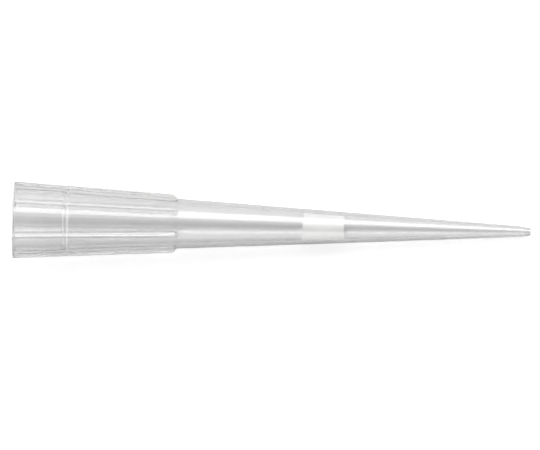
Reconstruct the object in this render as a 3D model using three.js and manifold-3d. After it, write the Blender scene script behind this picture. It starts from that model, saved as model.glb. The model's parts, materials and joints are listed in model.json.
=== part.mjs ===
// A filter pipette tip of the 20 microlitre class, lying on its side as it comes to rest on a bench.
// It is one moulded polypropylene body, with a ribbed collar and a stepped taper bore, and one porous
// plug wedged in that bore. Millimetres, +Z up, and +X runs from the mouth to the orifice.

import * as THREE from "three";
import { mergeVertices } from "three/addons/utils/BufferGeometryUtils.js";
import Module from "manifold-3d";

const wasm = await Module();
wasm.setup();

// Driving dimensions. Places along the tip are measured from its mouth face.
const LENGTH = 51.0;

// The bore: a socket for the pipette's nozzle, a conical ledge, then one straight taper.
const SOCKET_BORE = 5.7;
const SOCKET_DEPTH = 4.75;
const SOCKET_TAPER_DEG = 1.6;
const LEAD_IN_DEPTH = 0.3;
const LEAD_IN_WIDTH = 0.16;
const LEDGE_LENGTH = 0.6;
const LEDGE_HEIGHT = 0.17;
const ORIFICE_BORE = 0.46;

// The outside: a straight cone to a shoulder, and a short steeper nose.
const MOUTH_WALL = 0.55;
const RIM_CHAMFER = 0.1;
const SHOULDER_WALL = 0.26;
const NOSE_LENGTH = 1.0;
const ORIFICE_WALL = 0.12;

// The collar: a very slightly thicker stretch of wall that carries the ribs.
const COLLAR_LENGTH = 16.13;
const COLLAR_STEP = 0.03;
const COLLAR_STEP_LENGTH = 0.06;
const RIB_COUNT = 6;
const RIB_HEIGHT = 0.36;
const RIB_TOP_WIDTH = 0.46;
const RIB_ROOT_WIDTH = 0.6;
const RIB_EDGE = 0.22;
const RIB_EDGE_STEPS = 4;
const RIB_MOUTH_CHAMFER = 0.12;
const RIB_END_BEVEL = 0.24;

// The filter plug follows the bore.
const FILTER_PLACE = 28.5;
const FILTER_LENGTH = 4.1;
const FILTER_EDGE = 0.06;
const FILTER_CLEARANCE = 0.01;
const FILTER_FACE_SKEW_DEG = 4;

// Weights that settle how the tip lies, in grams for each cubic millimetre.
const BODY_DENSITY = 0.905e-3;
const FILTER_DENSITY = 0.5e-3;

// A facet corner falls on the middle of every rib and every valley.
const FACETS = 16 * RIB_COUNT;
const MERGE_WITHIN = 1e-3;

// Sizes worked out from the driving dimensions.
const socketMouthRadius = SOCKET_BORE / 2;
const socketTaper = Math.tan(THREE.MathUtils.degToRad(SOCKET_TAPER_DEG));
const socketEndRadius = socketMouthRadius - SOCKET_DEPTH * socketTaper;
const ledgeEnd = SOCKET_DEPTH + LEDGE_LENGTH;
const mainBoreRadius = socketEndRadius - LEDGE_HEIGHT;
const shoulderPlace = LENGTH - NOSE_LENGTH;
const mouthRadius = socketMouthRadius + MOUTH_WALL;
const shoulderRadius = mainBoreAt(shoulderPlace) + SHOULDER_WALL;
const orificeRadius = ORIFICE_BORE / 2 + ORIFICE_WALL;
const coneTaper = Math.atan((mouthRadius - shoulderRadius) / shoulderPlace);

function mainBoreAt(along) {
  const share = (along - ledgeEnd) / (LENGTH - ledgeEnd);
  return THREE.MathUtils.lerp(mainBoreRadius, ORIFICE_BORE / 2, share);
}

// The outside of the wall, without its collar step or ribs.
function coneAt(along) {
  return THREE.MathUtils.lerp(mouthRadius, shoulderRadius, along / shoulderPlace);
}

function collarAt(along) {
  return coneAt(along) + COLLAR_STEP;
}

function ribTopAt(along) {
  return collarAt(along) + RIB_HEIGHT;
}

// A ring turned about the Y axis from an outline of [radius, along] corners. The outline runs
// towards the orifice on its outer side and back towards the mouth on its inner side.
function turned(outline) {
  const closed = [...outline, outline[0]];
  const points = closed.map(([radius, along]) => new THREE.Vector2(radius, along));
  return new THREE.LatheGeometry(points, FACETS);
}

function solidOf(geometry) {
  const bare = geometry.clone();
  bare.deleteAttribute("normal");
  bare.deleteAttribute("uv");
  const merged = mergeVertices(bare, MERGE_WITHIN);
  const vertProperties = new Float32Array(merged.attributes.position.array);
  const triVerts = new Uint32Array(merged.index.array);
  return new wasm.Manifold(new wasm.Mesh({ numProp: 3, vertProperties, triVerts }));
}

function geometryOf(solid) {
  const { vertProperties, triVerts } = solid.getMesh();
  const geometry = new THREE.BufferGeometry();
  geometry.setAttribute("position", new THREE.BufferAttribute(vertProperties, 3));
  geometry.setIndex(new THREE.BufferAttribute(triVerts, 1));
  geometry.computeVertexNormals();
  return geometry;
}

// The tube wall without its ribs: outside, nose, bore, ledge, socket and lead-in, as one outline.
function wallGeometry() {
  const collarEnd = COLLAR_LENGTH + COLLAR_STEP_LENGTH;
  return turned([
    [collarAt(0) - RIM_CHAMFER, 0],
    [collarAt(RIM_CHAMFER), RIM_CHAMFER],
    [collarAt(COLLAR_LENGTH), COLLAR_LENGTH],
    [coneAt(collarEnd), collarEnd],
    [shoulderRadius, shoulderPlace],
    [orificeRadius, LENGTH],
    [ORIFICE_BORE / 2, LENGTH],
    [mainBoreRadius, ledgeEnd],
    [socketEndRadius, SOCKET_DEPTH],
    [socketMouthRadius - LEAD_IN_DEPTH * socketTaper, LEAD_IN_DEPTH],
    [socketMouthRadius + LEAD_IN_WIDTH, 0],
  ]);
}

// The ring that the ribs are cut from. Its ends slope as the ribs' mouth chamfer and end bevel do, its
// outside is far above the ribs' tops, and its inside is buried in the wall.
function ribRing() {
  const root = MOUTH_WALL / 2;
  const rise = 2 * RIB_HEIGHT;
  return turned([
    [coneAt(0) - root, 0],
    [ribTopAt(0) - RIB_MOUTH_CHAMFER, 0],
    [ribTopAt(0) - RIB_MOUTH_CHAMFER + rise, rise],
    [collarAt(COLLAR_LENGTH) + rise, COLLAR_LENGTH - (rise / RIB_HEIGHT) * RIB_END_BEVEL],
    [collarAt(COLLAR_LENGTH), COLLAR_LENGTH],
    [coneAt(COLLAR_LENGTH) - root, COLLAR_LENGTH],
  ]);
}

// One long bar with a rib's drafted, round-edged section, lying along the cone over the whole collar.
// It runs past the ring at both ends, and its section runs deeper than the ring's inside. RIB_EDGE is
// how far the rounding reaches along the top and down the flank from the corner where they would meet.
function ribBar() {
  const draft = Math.atan((RIB_ROOT_WIDTH - RIB_TOP_WIDTH) / 2 / RIB_HEIGHT);
  const depth = MOUTH_WALL / 2;
  const deepWidth = RIB_ROOT_WIDTH + 2 * depth * Math.tan(draft);
  const edgeRadius = RIB_EDGE * Math.tan(Math.PI / 4 + draft / 2);
  const edgeCentre = new THREE.Vector2(RIB_TOP_WIDTH / 2 - RIB_EDGE, RIB_HEIGHT - edgeRadius);
  const section = new THREE.Shape();
  section.moveTo(-deepWidth / 2, -depth);
  section.lineTo(deepWidth / 2, -depth);
  section.absarc(edgeCentre.x, edgeCentre.y, edgeRadius, draft, Math.PI / 2);
  section.absarc(-edgeCentre.x, edgeCentre.y, edgeRadius, Math.PI / 2, Math.PI - draft);
  const overrun = 1;
  const bar = new THREE.ExtrudeGeometry(section, {
    depth: COLLAR_LENGTH + 2 * overrun,
    curveSegments: RIB_EDGE_STEPS,
    bevelEnabled: false,
  });
  const across = new THREE.Vector3(-1, 0, 0);
  const outwards = new THREE.Vector3(0, Math.sin(coneTaper), Math.cos(coneTaper));
  const along = new THREE.Vector3(0, Math.cos(coneTaper), -Math.sin(coneTaper));
  const placed = new THREE.Matrix4().makeBasis(across, outwards, along);
  placed.setPosition(0, -overrun, collarAt(-overrun));
  return bar.applyMatrix4(placed);
}

// The ribs stand half a pitch either side of straight up, so the tip lies on two of them.
function ribsSolid() {
  const ring = solidOf(ribRing());
  const bar = ribBar();
  const pitch = (2 * Math.PI) / RIB_COUNT;
  const ribs = [];
  for (let i = 0; i < RIB_COUNT; i += 1) {
    const turnedBar = bar.clone().rotateY((i + 0.5) * pitch);
    ribs.push(ring.intersect(solidOf(turnedBar)));
  }
  return ribs.reduce((all, rib) => all.add(rib));
}

function bodyGeometry() {
  return geometryOf(solidOf(wallGeometry()).add(ribsSolid()));
}

// The plug fills the bore but for a hair's clearance. Its mouth face was pressed in a little askew.
function filterGeometry() {
  const end = FILTER_PLACE + FILTER_LENGTH;
  const fit = (along) => mainBoreAt(along) - FILTER_CLEARANCE;
  const skew = THREE.MathUtils.degToRad(FILTER_FACE_SKEW_DEG);
  const start = FILTER_PLACE - fit(FILTER_PLACE) * Math.tan(skew);
  const blank = new THREE.LatheGeometry(
    [
      new THREE.Vector2(0, start),
      new THREE.Vector2(fit(start), start),
      new THREE.Vector2(fit(end - FILTER_EDGE), end - FILTER_EDGE),
      new THREE.Vector2(fit(end) - FILTER_EDGE, end),
      new THREE.Vector2(0, end),
    ],
    FACETS,
  );
  const reach = 2 * FILTER_LENGTH;
  const cutter = new THREE.BoxGeometry(2 * reach, reach, 2 * reach);
  cutter.translate(0, -reach / 2, 0);
  cutter.rotateZ(-skew);
  cutter.translate(0, FILTER_PLACE, 0);
  return geometryOf(solidOf(blank).subtract(solidOf(cutter)));
}

// A solid's volume, and its volume times the place of its centre along the tip.
function volumeAndMoment(geometry) {
  const { position } = geometry.attributes;
  const corners = [new THREE.Vector3(), new THREE.Vector3(), new THREE.Vector3()];
  let volume = 0;
  let moment = 0;
  for (let i = 0; i < geometry.index.count; i += 3) {
    corners.forEach((corner, k) => corner.fromBufferAttribute(position, geometry.index.getX(i + k)));
    const [a, b, c] = corners;
    const wedge = a.dot(new THREE.Vector3().crossVectors(b, c)) / 6;
    volume += wedge;
    moment += (wedge * (a.y + b.y + c.y)) / 4;
  }
  return { volume, moment };
}

function balancePlace(bodyShape, filterShape) {
  const body = volumeAndMoment(bodyShape);
  const filter = volumeAndMoment(filterShape);
  const weight = body.volume * BODY_DENSITY + filter.volume * FILTER_DENSITY;
  return (body.moment * BODY_DENSITY + filter.moment * FILTER_DENSITY) / weight;
}

// What a shape has below its axis, as one convex outline of (along, depth) corners.
function undersideOutline(geometry) {
  const { position } = geometry.attributes;
  const points = [];
  for (let i = 0; i < position.count; i += 1) {
    const depth = -position.getZ(i);
    if (depth > 0) points.push(new THREE.Vector2(position.getY(i), depth));
  }
  points.sort((a, b) => a.x - b.x || a.y - b.y);
  const outline = [];
  for (const point of points) {
    while (outline.length > 1) {
      const [last, before] = [outline.at(-1), outline.at(-2)];
      const turn = last.clone().sub(before).cross(point.clone().sub(before));
      if (turn < 0) break;
      outline.pop();
    }
    outline.push(point);
  }
  return outline;
}

// How far the axis slopes down towards the orifice when the tip rests: on a flat bench it stands on
// the stretch of its underside that its weight falls within.
function restingPitch(bodyShape, filterShape) {
  const weightAt = new THREE.Vector2(balancePlace(bodyShape, filterShape), 0);
  const outline = undersideOutline(bodyShape);
  for (let i = 1; i < outline.length; i += 1) {
    const stretch = outline[i].clone().sub(outline[i - 1]);
    const share = weightAt.clone().sub(outline[i - 1]).dot(stretch) / stretch.lengthSq();
    if (share >= 0 && share <= 1) return -Math.atan2(stretch.y, stretch.x);
  }
  return 0;
}

const bodyShape = bodyGeometry();
const filterShape = filterGeometry();

const tipBody = new THREE.Mesh(
  bodyShape,
  new THREE.MeshStandardMaterial({ color: 0xdcdddb, roughness: 0.3, metalness: 0 }),
);
tipBody.name = "tip_body";

const filterPlug = new THREE.Mesh(
  filterShape,
  new THREE.MeshStandardMaterial({ color: 0xf6f6f4, roughness: 0.95, metalness: 0 }),
);
filterPlug.name = "filter_plug";

// The tip is drawn standing along Y. It is laid down along X, sloped as it rests, and put down with
// the middle of its footprint at the origin.
const tip = new THREE.Group();
tip.add(tipBody, filterPlug);
tip.rotation.set(0, restingPitch(bodyShape, filterShape), -Math.PI / 2);

const group = new THREE.Group();
group.add(tip);
group.updateMatrixWorld(true);
const bounds = new THREE.Box3().setFromObject(group, true);
const middle = bounds.getCenter(new THREE.Vector3());
tip.position.set(-middle.x, -middle.y, -bounds.min.z);

export default group;
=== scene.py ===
"""A filter pipette tip, lying on its side on a white bench between two long softboxes.

The clear body and the porous plug are modelled finely here and stand for the plain nodes of the frame.
They are drawn in the tip's own space, in millimetres: X runs from the mouth face to the orifice, Z
points up out of a valley between two ribs, and Y goes across. One matrix lays them where the frame lies.
"""

import json
import math

import bmesh
import bpy
from mathutils import Matrix, Vector, noise


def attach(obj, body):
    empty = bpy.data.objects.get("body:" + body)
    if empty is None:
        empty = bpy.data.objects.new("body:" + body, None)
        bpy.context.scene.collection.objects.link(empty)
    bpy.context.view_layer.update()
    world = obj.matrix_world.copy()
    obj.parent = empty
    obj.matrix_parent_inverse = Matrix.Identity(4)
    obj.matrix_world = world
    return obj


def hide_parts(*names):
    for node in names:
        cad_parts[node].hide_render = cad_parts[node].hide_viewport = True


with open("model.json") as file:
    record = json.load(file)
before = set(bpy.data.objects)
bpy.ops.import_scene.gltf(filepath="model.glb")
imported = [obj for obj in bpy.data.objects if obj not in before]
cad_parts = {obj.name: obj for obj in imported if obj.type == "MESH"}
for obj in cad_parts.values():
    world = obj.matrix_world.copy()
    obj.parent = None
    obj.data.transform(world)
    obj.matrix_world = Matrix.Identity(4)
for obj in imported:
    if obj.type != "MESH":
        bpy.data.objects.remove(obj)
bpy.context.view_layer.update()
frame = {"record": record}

MM = 0.001

# The bore in millimetres, with places counted from the mouth face.
LENGTH = 51.0
SOCKET_RADIUS = 2.85
SOCKET_DEPTH = 4.75
SOCKET_TAPER = math.tan(math.radians(1.6))
LEAD_IN_DEPTH = 0.3
LEAD_IN_WIDTH = 0.16
LEDGE_LENGTH = 0.6
LEDGE_HEIGHT = 0.17
ORIFICE_RADIUS = 0.23

# The outside.
MOUTH_RADIUS = 3.4
SHOULDER_PLACE = 50.0
SHOULDER_WALL = 0.26
ORIFICE_WALL = 0.12
COLLAR_LENGTH = 16.13
COLLAR_STEP = 0.03
COLLAR_STEP_LENGTH = 0.06

# The ribs, with the flared foot that the frame's plainer ribs leave out.
RIB_COUNT = 6
RIB_HEIGHT = 0.36
RIB_TOP_WIDTH = 0.46
RIB_FOOT_WIDTH = 0.8
RIB_EDGE = 0.22
RIB_FILLET = 0.15
RIB_END_BEVEL = 0.24

# How far each edge of the wall is rounded, measured along its sides.
CRISP_EDGE = 0.03
RIB_END_EDGE = 0.05
MOUTH_EDGE = 0.1
LEAD_IN_EDGE = 0.05
LEDGE_EDGE = 0.06
SHOULDER_EDGE = 0.12

# The plug.
PLUG_PLACE = 28.5
PLUG_LENGTH = 4.1
PLUG_CLEARANCE = 0.01
PLUG_EDGE = 0.06
PLUG_SKEW = math.tan(math.radians(4))
BEAD_SIZE = 0.13
BEAD_DEPTH = 0.02

# Where the mould is left matt: this far in from the mouth, and this near the foot of the ledge.
MATT_RIM = 0.2
MATT_RIDGE = 0.05

# How finely the shapes are cut, and how strongly large faces hold the shading flat.
ROUNDING_STEPS = 4
RING_STEP = 2.0
SECTION_STEP = 0.1
PLUG_STEP = 0.05
PLUG_TURNS = 180
MERGE_WITHIN = 1e-5
FLAT_FACES_WEIGHT = 80

RIB_PITCH = 2 * math.pi / RIB_COUNT
LEDGE_END = SOCKET_DEPTH + LEDGE_LENGTH
SOCKET_END_RADIUS = SOCKET_RADIUS - SOCKET_DEPTH * SOCKET_TAPER
BORE_RADIUS = SOCKET_END_RADIUS - LEDGE_HEIGHT


def bore_at(place):
    share = (place - LEDGE_END) / (LENGTH - LEDGE_END)
    return BORE_RADIUS + share * (ORIFICE_RADIUS - BORE_RADIUS)


SHOULDER_RADIUS = bore_at(SHOULDER_PLACE) + SHOULDER_WALL


def cone_at(place):
    return MOUTH_RADIUS + (SHOULDER_RADIUS - MOUTH_RADIUS) * place / SHOULDER_PLACE


def collar_at(place):
    return cone_at(place) + COLLAR_STEP


# ---------------------------------------------------------------- where the tip lies

MOUTH = next(mount for mount in frame["record"]["mounts"] if mount["name"] == "mouth_face")
ALONG = -Vector(MOUTH["axis"]).normalized()
ACROSS = Vector((0, 1, 0))
UP = ALONG.cross(ACROSS)
MOUTH_CENTRE = Vector((MOUTH["pos_m"][0], 0, MOUTH["pos_m"][2]))
PITCH = math.asin(-ALONG.z)
TURNED = Matrix((ALONG, ACROSS, UP)).transposed().to_4x4()
LAID = Matrix.Translation(MOUTH_CENTRE) @ TURNED @ Matrix.Scale(MM, 4)


# ---------------------------------------------------------------- modelling


def chained(points):
    """A bmesh of one open line of edges through the points."""
    bm = bmesh.new()
    verts = [bm.verts.new(point) for point in points]
    for pair in zip(verts, verts[1:]):
        bm.edges.new(pair)
    return bm


def rounded_line(corners, step):
    """The points of a line whose corners are (x, y, z, reach of the rounding), at most step apart."""
    bm = chained(corner[:3] for corner in corners)
    for vert, corner in zip(list(bm.verts), corners):
        if corner[3]:
            bmesh.ops.bevel(
                bm, geom=[vert], offset=corner[3], segments=ROUNDING_STEPS, profile=0.5,
                affect="VERTICES", material=-1,
            )
    for edge in list(bm.edges):
        cuts = math.ceil(edge.calc_length() / step) - 1
        if cuts > 0:
            bmesh.ops.subdivide_edges(bm, edges=[edge], cuts=cuts)
    bm.verts.ensure_lookup_table()
    start = bm.verts[0]
    points = [start.co.copy()]
    edge = start.link_edges[0]
    vert = edge.other_vert(start)
    while True:
        points.append(vert.co.copy())
        onward = [e for e in vert.link_edges if e != edge]
        if not onward:
            break
        edge = onward[0]
        vert = edge.other_vert(vert)
    bm.free()
    return points


def placed(name, data):
    """Puts data in the scene as an object at the origin."""
    thing = bpy.data.objects.new(name, data)
    bpy.context.scene.collection.objects.link(thing)
    return thing


def meshed(bm, name, materials):
    """Turns a bmesh into an object with its materials."""
    mesh = bpy.data.meshes.new(name)
    bm.to_mesh(mesh)
    bm.free()
    for material in materials:
        mesh.materials.append(material)
    return placed(name, mesh)


def finished(bm, name, node, materials):
    """Makes a bmesh of tip space a piece that lies in the frame and stands for a CAD node."""
    bmesh.ops.recalc_face_normals(bm, faces=bm.faces)
    bmesh.ops.transform(bm, matrix=LAID, verts=bm.verts)
    for face in bm.faces:
        face.smooth = True
    piece = meshed(bm, name, materials)
    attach(piece, "root")
    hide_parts(node)
    return piece


def wall_path():
    """Once round the wall: along the outside, back through the bore, and out over the mouth face.

    Each corner is (place, height of the ribs, radius of the wall, reach of the rounding).
    """
    begin = (COLLAR_LENGTH / 2, RIB_HEIGHT, collar_at(COLLAR_LENGTH / 2), 0)
    bevel_place = COLLAR_LENGTH - RIB_END_BEVEL
    step_place = COLLAR_LENGTH + COLLAR_STEP_LENGTH
    corners = [
        begin,
        (bevel_place, RIB_HEIGHT, collar_at(bevel_place), RIB_END_EDGE),
        (COLLAR_LENGTH, 0, collar_at(COLLAR_LENGTH), CRISP_EDGE / 2),
        (step_place, 0, cone_at(step_place), CRISP_EDGE),
        (SHOULDER_PLACE, 0, SHOULDER_RADIUS, SHOULDER_EDGE),
        (LENGTH, 0, ORIFICE_RADIUS + ORIFICE_WALL, CRISP_EDGE),
        (LENGTH, 0, ORIFICE_RADIUS, CRISP_EDGE),
        (LEDGE_END, 0, BORE_RADIUS, LEDGE_EDGE),
        (SOCKET_DEPTH, 0, SOCKET_END_RADIUS, LEDGE_EDGE),
        (LEAD_IN_DEPTH, 0, SOCKET_RADIUS - LEAD_IN_DEPTH * SOCKET_TAPER, LEAD_IN_EDGE),
        (0, 0, SOCKET_RADIUS + LEAD_IN_WIDTH, CRISP_EDGE),
        (0, RIB_HEIGHT, collar_at(0), MOUTH_EDGE),
        begin,
    ]
    return rounded_line(corners, RING_STEP)


def rib_section():
    """Half a rib and half the valley beside it, as points of (across, height, share of the valley)."""
    root = RIB_FOOT_WIDTH / 2
    valley = root + RIB_FILLET
    corners = [
        (0, RIB_HEIGHT, 0, 0),
        (RIB_TOP_WIDTH / 2, RIB_HEIGHT, 0, RIB_EDGE),
        (root, 0, 0, RIB_FILLET),
        (valley, 0, 0, 0),
        (valley, 0, 1, 0),
    ]
    return rounded_line(corners, SECTION_STEP)


def ring_spot(point, station, middle, side):
    """Where a point of the section lies on a station's ring, on one side of the rib at angle middle.

    Beyond the collar the points keep the angles that they have at its end, so the rings stay even.
    """
    across, height, share = point
    place, rise, radius = station
    out = height * rise / RIB_HEIGHT
    lean = math.asin(across / (max(radius, collar_at(COLLAR_LENGTH)) + out))
    angle = middle + side * (lean + share * (RIB_PITCH / 2 - lean))
    return Vector((place, (radius + out) * math.sin(angle), (radius + out) * math.cos(angle)))


def first_ring(bm, section, station):
    """A closed ring of edges: half a rib, mirrored, repeated round the axis and joined."""
    verts = []
    for point in rib_section():
        vert = bm.verts.new(ring_spot(point, station, 0, 1))
        vert[section] = point
        verts.append(vert)
    for pair in zip(verts, verts[1:]):
        bm.edges.new(pair)
    bmesh.ops.mirror(bm, geom=bm.verts[:] + bm.edges[:], axis="Y", merge_dist=MERGE_WITHIN)
    bmesh.ops.rotate(bm, verts=bm.verts, matrix=Matrix.Rotation(-RIB_PITCH / 2, 3, "X"))
    bmesh.ops.spin(
        bm, geom=bm.verts[:] + bm.edges[:], axis=(1, 0, 0), angle=-2 * math.pi + RIB_PITCH,
        steps=RIB_COUNT - 1, use_duplicate=True,
    )
    bmesh.ops.remove_doubles(bm, verts=bm.verts, dist=MERGE_WITHIN)


OUTER_SKIN, BORE_SKIN, MATT_SKIN = range(3)


def tip_body(materials):
    """The whole moulding: one ring of edges carried once round the wall and joined to itself."""
    path = wall_path()
    bm = bmesh.new()
    section = bm.verts.layers.float_vector.new("section")
    first_ring(bm, section, path[0])
    edges = bm.edges[:]
    for last, station in zip(path, path[1:]):
        grown = bmesh.ops.extrude_edge_only(bm, edges=edges)["geom"]
        edges = [part for part in grown if isinstance(part, bmesh.types.BMEdge)]
        for vert in (part for part in grown if isinstance(part, bmesh.types.BMVert)):
            angle = math.atan2(vert.co.y, vert.co.z)
            middle = (math.floor(angle / RIB_PITCH) + 0.5) * RIB_PITCH
            side = 1 if angle > middle else -1
            vert.co = ring_spot(vert[section], station, middle, side)
        place = (last[0] + station[0]) / 2
        inside = (last[2] + station[2]) / 2 < (bore_at(place) + cone_at(place)) / 2
        matt_ring = place < MATT_RIM or inside and abs(place - LEDGE_END) < MATT_RIDGE
        for face in (part for part in grown if isinstance(part, bmesh.types.BMFace)):
            face.material_index = MATT_SKIN if matt_ring else BORE_SKIN if inside else OUTER_SKIN
    bmesh.ops.remove_doubles(bm, verts=bm.verts, dist=MERGE_WITHIN)
    body = finished(bm, "clear_body", "tip_body", materials)
    even = body.modifiers.new("even_shading", "WEIGHTED_NORMAL")
    even.mode = "FACE_AREA"
    even.weight = FLAT_FACES_WEIGHT


def porous_plug(material):
    """A turned plug that follows the bore, with its mouth face askew and a grain of sintered beads."""

    def fit(place):
        return bore_at(place) - PLUG_CLEARANCE

    end = PLUG_PLACE + PLUG_LENGTH
    outline = [
        (PLUG_PLACE, 0, 0, 0),
        (PLUG_PLACE, 0, fit(PLUG_PLACE), PLUG_EDGE),
        (end, 0, fit(end), PLUG_EDGE),
        (end, 0, 0, 0),
    ]
    bm = chained(rounded_line(outline, PLUG_STEP))
    bmesh.ops.spin(
        bm, geom=bm.verts[:] + bm.edges[:], axis=(1, 0, 0), angle=2 * math.pi, steps=PLUG_TURNS,
        use_merge=True,
    )
    bmesh.ops.remove_doubles(bm, verts=bm.verts, dist=MERGE_WITHIN)
    bmesh.ops.recalc_face_normals(bm, faces=bm.faces)
    bm.normal_update()
    for vert in bm.verts:
        spot = vert.co.copy()
        nearest = noise.voronoi(spot / BEAD_SIZE)[0][0]
        vert.co -= vert.normal * BEAD_DEPTH * min(nearest, 1)
        pushed = PLUG_SKEW * vert.co.y * (end - spot.x) / PLUG_LENGTH
        squeeze = fit(spot.x + pushed) / fit(spot.x)
        vert.co = Vector((vert.co.x + pushed, vert.co.y * squeeze, vert.co.z * squeeze))
    finished(bm, "porous_plug", "filter_plug", [material])


# ---------------------------------------------------------------- finishes


WHITE = (1, 1, 1, 1)

# The faint lines that a mould leaves along the part: depth and length in millimetres, and how far
# they swing the roughness. Noise seldom leaves the range from PATTERN_LOW to PATTERN_HIGH.
LINE_DEPTH = 0.0005
LINE_LENGTH = 200
LINE_CONTRAST = 0.3
LINES_PER_RADIAN = 11
PATTERN_LOW = 0.3
PATTERN_HIGH = 0.7


def feed(links, socket, value):
    """Links an input to another node's output, or sets it to a plain value."""
    if isinstance(value, bpy.types.NodeSocket):
        links.new(value, socket)
    else:
        socket.default_value = value


def math_node(nodes, links, operation, first, second=0):
    """The output of a Math node whose inputs are sockets or plain numbers."""
    node = nodes.new("ShaderNodeMath")
    node.operation = operation
    feed(links, node.inputs[0], first)
    feed(links, node.inputs[1], second)
    return node.outputs[0]


def ranged(nodes, links, value, low, high, at_low, at_high, blend="LINEAR"):
    """The output of a Map Range node that turns low..high into at_low..at_high."""
    node = nodes.new("ShaderNodeMapRange")
    node.interpolation_type = blend
    feed(links, node.inputs["Value"], value)
    feed(links, node.inputs["From Min"], low)
    feed(links, node.inputs["From Max"], high)
    feed(links, node.inputs["To Min"], at_low)
    feed(links, node.inputs["To Max"], at_high)
    return node.outputs["Result"]


def toned(nodes, links, pattern, grain_mm, output, first, last):
    """The colours from first to last by the output of a texture, with grains of a size on the object."""
    texture = nodes.new(pattern)
    texture.inputs["Scale"].default_value = 1 / (grain_mm * MM)
    links.new(nodes.new("ShaderNodeTexCoord").outputs["Object"], texture.inputs["Vector"])
    tones = nodes.new("ShaderNodeValToRGB")
    tones.color_ramp.elements[0].color = first
    tones.color_ramp.elements[1].color = last
    links.new(texture.outputs[output], tones.inputs["Fac"])
    return tones.outputs["Color"]


def draw_lines_group():
    """A shader node group: fine lines from the mouth to the orifice, all the way round the moulding.

    It puts out a value that swings between Low and High, and the same lines as a height from 0 to 1.
    """
    group = bpy.data.node_groups.new("draw_lines", "ShaderNodeTree")
    for name in ("Low", "High"):
        group.interface.new_socket(name, in_out="INPUT", socket_type="NodeSocketFloat")
    for name in ("Value", "Height"):
        group.interface.new_socket(name, in_out="OUTPUT", socket_type="NodeSocketFloat")
    nodes, links = group.nodes, group.links
    given = nodes.new("NodeGroupInput")
    put_out = nodes.new("NodeGroupOutput")
    tip_space = nodes.new("ShaderNodeMapping")
    tip_space.vector_type = "TEXTURE"
    tip_space.inputs["Location"].default_value = MOUTH_CENTRE
    tip_space.inputs["Rotation"].default_value = (0, PITCH, 0)
    tip_space.inputs["Scale"].default_value = (MM, MM, MM)
    links.new(nodes.new("ShaderNodeTexCoord").outputs["Object"], tip_space.inputs["Vector"])
    place = nodes.new("ShaderNodeSeparateXYZ")
    links.new(tip_space.outputs["Vector"], place.inputs["Vector"])
    outward = nodes.new("ShaderNodeCombineXYZ")
    links.new(place.outputs["Y"], outward.inputs["Y"])
    links.new(place.outputs["Z"], outward.inputs["Z"])
    round_axis = nodes.new("ShaderNodeVectorMath")
    round_axis.operation = "NORMALIZE"
    links.new(outward.outputs["Vector"], round_axis.inputs[0])
    along = nodes.new("ShaderNodeCombineXYZ")
    stretched = math_node(nodes, links, "MULTIPLY", place.outputs["X"], 1 / LINE_LENGTH)
    links.new(stretched, along.inputs["X"])
    spot = nodes.new("ShaderNodeVectorMath")
    spot.operation = "ADD"
    links.new(round_axis.outputs["Vector"], spot.inputs[0])
    links.new(along.outputs["Vector"], spot.inputs[1])
    pattern = nodes.new("ShaderNodeTexNoise")
    pattern.inputs["Scale"].default_value = LINES_PER_RADIAN
    links.new(spot.outputs["Vector"], pattern.inputs["Vector"])
    value = ranged(
        nodes, links, pattern.outputs["Fac"], PATTERN_LOW, PATTERN_HIGH,
        given.outputs["Low"], given.outputs["High"],
    )
    links.new(value, put_out.inputs["Value"])
    links.new(pattern.outputs["Fac"], put_out.inputs["Height"])
    return group


DRAW_LINES = draw_lines_group()


def new_material(name):
    material = bpy.data.materials.new(name)
    material.use_nodes = True
    return material, material.node_tree.nodes, material.node_tree.links


POLYPROPYLENE_IOR = 1.49
COAT_ROUGHNESS = 0.06
PLUG_ROUGHNESS = 0.9
BEAD_WHITE = (0.98, 0.98, 0.97, 1)
# Painted shade: this darker white in the pores between the beads stands in for the shade inside them.
PAINTED_PORE_SHADE = (0.9, 0.9, 0.89, 1)


def clear_plastic(name, tint, roughness, transmission, coat):
    """Uncoloured polypropylene: a little hazy, with faint lines along the moulding."""
    material, nodes, links = new_material(name)
    shader = nodes["Principled BSDF"]
    shader.inputs["Base Color"].default_value = (tint, tint, tint, 1)
    shader.inputs["IOR"].default_value = POLYPROPYLENE_IOR
    shader.inputs["Transmission Weight"].default_value = transmission
    shader.inputs["Coat Weight"].default_value = coat
    shader.inputs["Coat Roughness"].default_value = COAT_ROUGHNESS
    lines = nodes.new("ShaderNodeGroup")
    lines.node_tree = DRAW_LINES
    lines.inputs["Low"].default_value = roughness * (1 - LINE_CONTRAST)
    lines.inputs["High"].default_value = roughness * (1 + LINE_CONTRAST)
    links.new(lines.outputs["Value"], shader.inputs["Roughness"])
    relief = nodes.new("ShaderNodeBump")
    relief.inputs["Strength"].default_value = 1
    relief.inputs["Distance"].default_value = LINE_DEPTH * MM
    links.new(lines.outputs["Height"], relief.inputs["Height"])
    links.new(relief.outputs["Normal"], shader.inputs["Normal"])
    return material


def plug_white():
    """Sintered polyethylene: fused white beads, with painted shade that darkens the white towards the
    pores between them.
    """
    material, nodes, links = new_material("sintered_white")
    shader = nodes["Principled BSDF"]
    shader.inputs["Roughness"].default_value = PLUG_ROUGHNESS
    # Painted shade: the colour darkens from the middle of each bead towards the pores around it.
    beads = toned(nodes, links, "ShaderNodeTexVoronoi", BEAD_SIZE, "Distance", BEAD_WHITE, PAINTED_PORE_SHADE)
    links.new(beads, shader.inputs["Base Color"])
    return material


# ---------------------------------------------------------------- the bench, the light and the camera

BENCH_SIZE = 4.0
BENCH_GAP = 2e-5
CARD_GRAIN = 0.3
CARD_DARK = (0.71, 0.71, 0.71, 1)
CARD_PALE = (0.79, 0.79, 0.79, 1)

# How bright the white card is to each kind of ray, on top of the light that falls on it.
BENCH_STRENGTHS = {"Is Camera Ray": 0.65, "Is Glossy Ray": 0.1, "Is Transmission Ray": 0.05}

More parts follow.
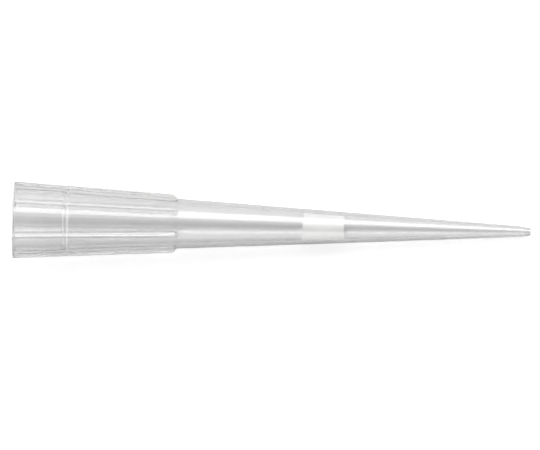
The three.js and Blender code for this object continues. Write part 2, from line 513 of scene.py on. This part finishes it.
# The ceiling as reflections show it: white, with a dark gap between the softboxes, in degrees of lean.
CEILING_STRENGTH = 0.95
GAP_STRENGTH = 0.05
GAP_LEAN = 14
GAP_HALF = 17
GAP_SOFT = 6

# The room's walls, by the height of a direction: 0 is level and 1 is straight up.
WALL_STRENGTH = 0.4
WALL_FULL_UP_TO = 0.05
WALL_ENDS_AT = 0.25

LAMP_DISTANCE = 0.5
LAMP_LENGTH = 1.0


def by_ray(nodes, links, strengths):
    """The sum of the strengths of the kinds of ray that arrive."""
    path = nodes.new("ShaderNodeLightPath")
    total = 0
    for kind, strength in strengths.items():
        share = math_node(nodes, links, "MULTIPLY", path.outputs[kind], strength)
        total = math_node(nodes, links, "ADD", total, share)
    return total


def bench_white():
    """Fine matt card, lit by the lamps and bright enough to look white to the camera."""
    material, nodes, links = new_material("bench_white")
    shader = nodes["Principled BSDF"]
    shader.inputs["Roughness"].default_value = 1
    shader.inputs["Specular IOR Level"].default_value = 0
    shader.inputs["Emission Color"].default_value = WHITE
    links.new(by_ray(nodes, links, BENCH_STRENGTHS), shader.inputs["Emission Strength"])
    fibres = toned(nodes, links, "ShaderNodeTexNoise", CARD_GRAIN, "Fac", CARD_DARK, CARD_PALE)
    links.new(fibres, shader.inputs["Base Color"])
    return material


def bench():
    """A wide sheet of card, a hair below the tip so that their faces don't coincide."""
    bm = bmesh.new()
    bmesh.ops.create_grid(bm, x_segments=1, y_segments=1, size=BENCH_SIZE / 2)
    bmesh.ops.translate(bm, verts=bm.verts, vec=(0, 0, -BENCH_GAP))
    meshed(bm, "bench", [bench_white()])


def surroundings():
    """A white room. Its walls light the tip from low down, and its ceiling shows only in gloss and glass.

    A ray that has passed through the hazy plastic counts as glossy and as transmission, so the two
    strengths add up to white there, and the gap shows only in reflections off the outside.
    """
    world = bpy.data.worlds.new("surroundings")
    world.use_nodes = True
    nodes, links = world.node_tree.nodes, world.node_tree.links
    background = nodes["Background"]
    background.inputs["Color"].default_value = WHITE
    towards = nodes.new("ShaderNodeSeparateXYZ")
    links.new(nodes.new("ShaderNodeTexCoord").outputs["Generated"], towards.inputs[0])
    walls = ranged(
        nodes, links, towards.outputs["Z"], WALL_FULL_UP_TO, WALL_ENDS_AT, WALL_STRENGTH, 0, "SMOOTHSTEP",
    )
    lean = math_node(nodes, links, "ARCTAN2", towards.outputs["Y"], towards.outputs["Z"])
    from_gap = math_node(nodes, links, "ADD", lean, math.radians(GAP_LEAN))
    ceiling = ranged(
        nodes, links, math_node(nodes, links, "ABSOLUTE", from_gap),
        math.radians(GAP_HALF - GAP_SOFT), math.radians(GAP_HALF + GAP_SOFT),
        GAP_STRENGTH, CEILING_STRENGTH, "SMOOTHSTEP",
    )
    added = by_ray(nodes, links, {
        "Is Camera Ray": 1,
        "Is Glossy Ray": ceiling,
        "Is Transmission Ray": math_node(nodes, links, "SUBTRACT", 1, ceiling),
    })
    links.new(math_node(nodes, links, "ADD", added, walls), background.inputs["Strength"])
    bpy.context.scene.world = world


def softbox(name, lean_deg, spread_deg, radiance):
    """A long lamp above the tip that leans over to one side and looks spread_deg wide from the tip.

    A negative lean is towards +Y. The radiance is the brightness that a mirror would show.
    """
    width = 2 * LAMP_DISTANCE * math.tan(math.radians(spread_deg / 2))
    lamp = bpy.data.lights.new(name, "AREA")
    lamp.shape = "RECTANGLE"
    lamp.size = LAMP_LENGTH
    lamp.size_y = width
    lamp.energy = radiance * math.pi * LAMP_LENGTH * width
    lean = Matrix.Rotation(math.radians(lean_deg), 4, "X")
    placed(name, lamp).matrix_world = lean @ Matrix.Translation((0, 0, LAMP_DISTANCE))


CAMERA_DISTANCE = 0.7
PICTURE_WIDTH = 53.19 * MM
SENSOR = 36.0
NEAREST = 0.01
FARTHEST = 10
ROLL = math.radians(1.34)
AIM_RIGHT = -0.182 * MM
AIM_UP = 0.084 * MM


def camera():
    """Looks square down on the tip from far off, rolled a little, and aimed near the tip's middle."""
    lens = bpy.data.cameras.new("camera")
    lens.sensor_width = SENSOR
    lens.lens = SENSOR * CAMERA_DISTANCE / PICTURE_WIDTH
    lens.clip_start = NEAREST
    lens.clip_end = FARTHEST
    eye = placed("camera", lens)
    right = ALONG * math.cos(ROLL) + ACROSS * math.sin(ROLL)
    top = ACROSS * math.cos(ROLL) - ALONG * math.sin(ROLL)
    target = MOUTH_CENTRE + ALONG * LENGTH / 2 * MM + right * AIM_RIGHT + top * AIM_UP
    pose = Matrix((right, top, UP)).transposed().to_4x4()
    eye.matrix_world = Matrix.Translation(target + UP * CAMERA_DISTANCE) @ pose
    bpy.context.scene.camera = eye


camera()
tip_body([
    clear_plastic("outer_skin", tint=0.93, roughness=0.1, transmission=0.85, coat=1),
    clear_plastic("bore_skin", tint=0.97, roughness=0.05, transmission=1, coat=0),
    clear_plastic("matt_skin", tint=0.97, roughness=0.5, transmission=0, coat=0),
])
porous_plug(plug_white())
bench()
surroundings()
softbox("key_core", lean_deg=-42, spread_deg=32, radiance=2.3)
softbox("key", lean_deg=-38, spread_deg=48, radiance=1.14)
softbox("fill", lean_deg=57, spread_deg=44, radiance=1.1)
bpy.context.scene.view_settings.view_transform = "Standard"
